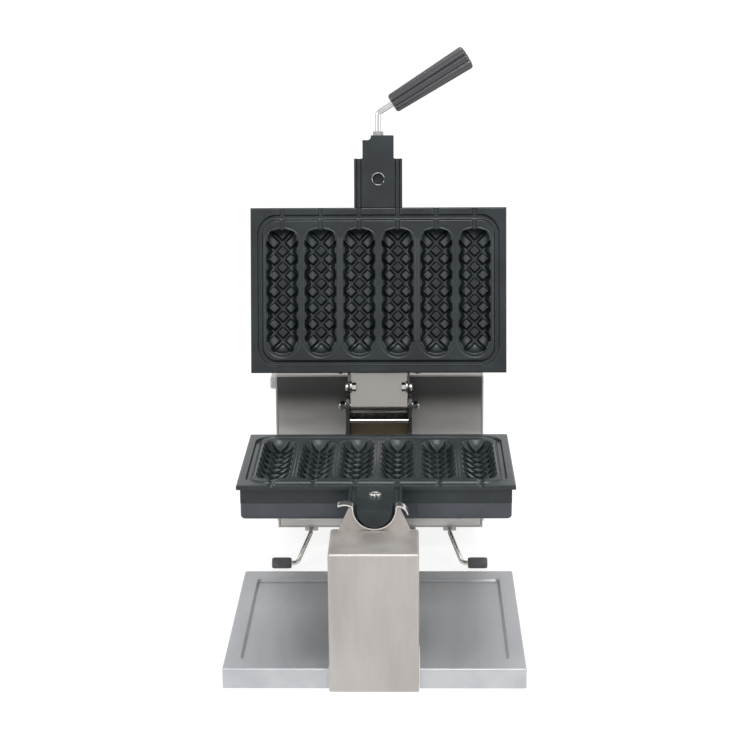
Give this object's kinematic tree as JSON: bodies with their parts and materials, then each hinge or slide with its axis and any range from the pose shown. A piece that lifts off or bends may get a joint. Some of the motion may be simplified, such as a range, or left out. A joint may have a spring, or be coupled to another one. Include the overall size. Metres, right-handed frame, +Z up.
{
  "type": "corn dog waffle maker",
  "caption": "Countertop waffle iron with hinged turning plates for corn dogs, held between a front column and a rear control box over a drip tray.",
  "frame": {"origin": "on the counter, at the underside of the base rail, straight below the middle of the lower baking plate", "axes": "+X to the right as seen from the front, +Y to the back where the control box is, +Z up"},
  "size_m": [0.314, 0.5676, 0.6147],
  "materials": {
    "plate_coating": "satin non-stick coating on cast metal",
    "cover_coating": "satin enamel",
    "bearing_iron": "satin",
    "stainless": "brushed",
    "polished_steel": "polished",
    "zinc": "bright zinc",
    "dark_steel": "dull",
    "bronze": "machined",
    "phenolic": "semi-gloss moulded",
    "rubber": "matt",
    "boot_rubber": "translucent",
    "black_plastic": "satin moulded",
    "grey_plastic": "matt",
    "ceramic": "glazed",
    "lamp_green": "translucent lens",
    "lamp_red": "translucent lens"
  },
  "bodies": {
    "stand": {"base_rail": "stainless", "bearing_bush": "bronze", "bearing_housing": "bearing_iron", "box_cover": "stainless", "box_floor": "stainless", "box_front_panel": "stainless", "box_rear_panel": "stainless", "cord_gland": "black_plastic", "cradle_liner": "polished_steel", "dial_plate_left": "polished_steel", "dial_plate_right": "polished_steel", "drip_tray": "stainless", "front_column": "stainless", "lamp_heat": "lamp_red", "lamp_power": "lamp_green", "leg_cap_left": "rubber", "leg_cap_right": "rubber", "leg_clip_left": "dark_steel", "leg_clip_right": "dark_steel", "leg_rod_left": "polished_steel", "leg_rod_right": "polished_steel", "rear_foot_left": "rubber", "rear_foot_right": "rubber", "rear_pedestal": "dark_steel", "switch_body": "black_plastic", "switch_boot": "boot_rubber", "terminal_block": "ceramic", "thermostat_body": "grey_plastic", "thrust_washer": "bronze", "timer_body": "grey_plastic"},
    "rotor": {"lower_plate": "plate_coating", "lower_trunnion": "plate_coating", "locating_peg": "zinc", "lower_cover": "cover_coating", "lower_heater": "dark_steel", "hinge_yoke": "dark_steel", "hinge_pin": "zinc", "pin_nut_left": "polished_steel", "pin_nut_right": "polished_steel", "cross_rod": "polished_steel", "rotor_shaft": "dark_steel", "shaft_collar": "zinc"},
    "lid": {"upper_plate": "plate_coating", "upper_trunnion": "plate_coating", "upper_cover": "cover_coating", "upper_heater": "dark_steel", "hinge_plate": "polished_steel", "hinge_sleeve": "bronze", "hinge_lugs": "dark_steel", "lug_bolt_left": "zinc", "lug_bolt_right": "zinc", "lug_nut_left": "zinc", "lug_nut_right": "zinc", "handle_rod": "polished_steel", "handle_nut": "zinc", "handle_grip": "phenolic"},
    "timer_dial": {"timer_knob": "black_plastic"},
    "thermostat_dial": {"thermostat_knob": "black_plastic"},
    "rocker": {"switch_rocker": "black_plastic"}
  },
  "joints": [
    {"name": "rotor_turn", "type": "hinge", "parent": "stand", "child": "rotor", "pos_m": [0, 0, 0.1707], "axis": [0, 1, 0], "range_deg": [-6, 6]},
    {"name": "lid_hinge", "type": "hinge", "parent": "rotor", "child": "lid", "pos_m": [0, 0.1383, 0.1947], "axis": [1, 0, 0], "range_deg": [0, 103.2]},
    {"name": "timer_turn", "type": "hinge", "parent": "stand", "child": "timer_dial", "pos_m": [-0.097, 0.1675, 0.0632], "axis": [0, -1, 0], "range_deg": [-300, 0]},
    {"name": "thermostat_turn", "type": "hinge", "parent": "stand", "child": "thermostat_dial", "pos_m": [0.097, 0.1675, 0.0632], "axis": [0, -1, 0], "range_deg": [-270, 0]},
    {"name": "switch_tilt", "type": "hinge", "parent": "stand", "child": "rocker", "pos_m": [-0.1261, 0.1917, 0.2113], "axis": [0, 0, 1], "range_deg": [-7, 7]}
  ]
}
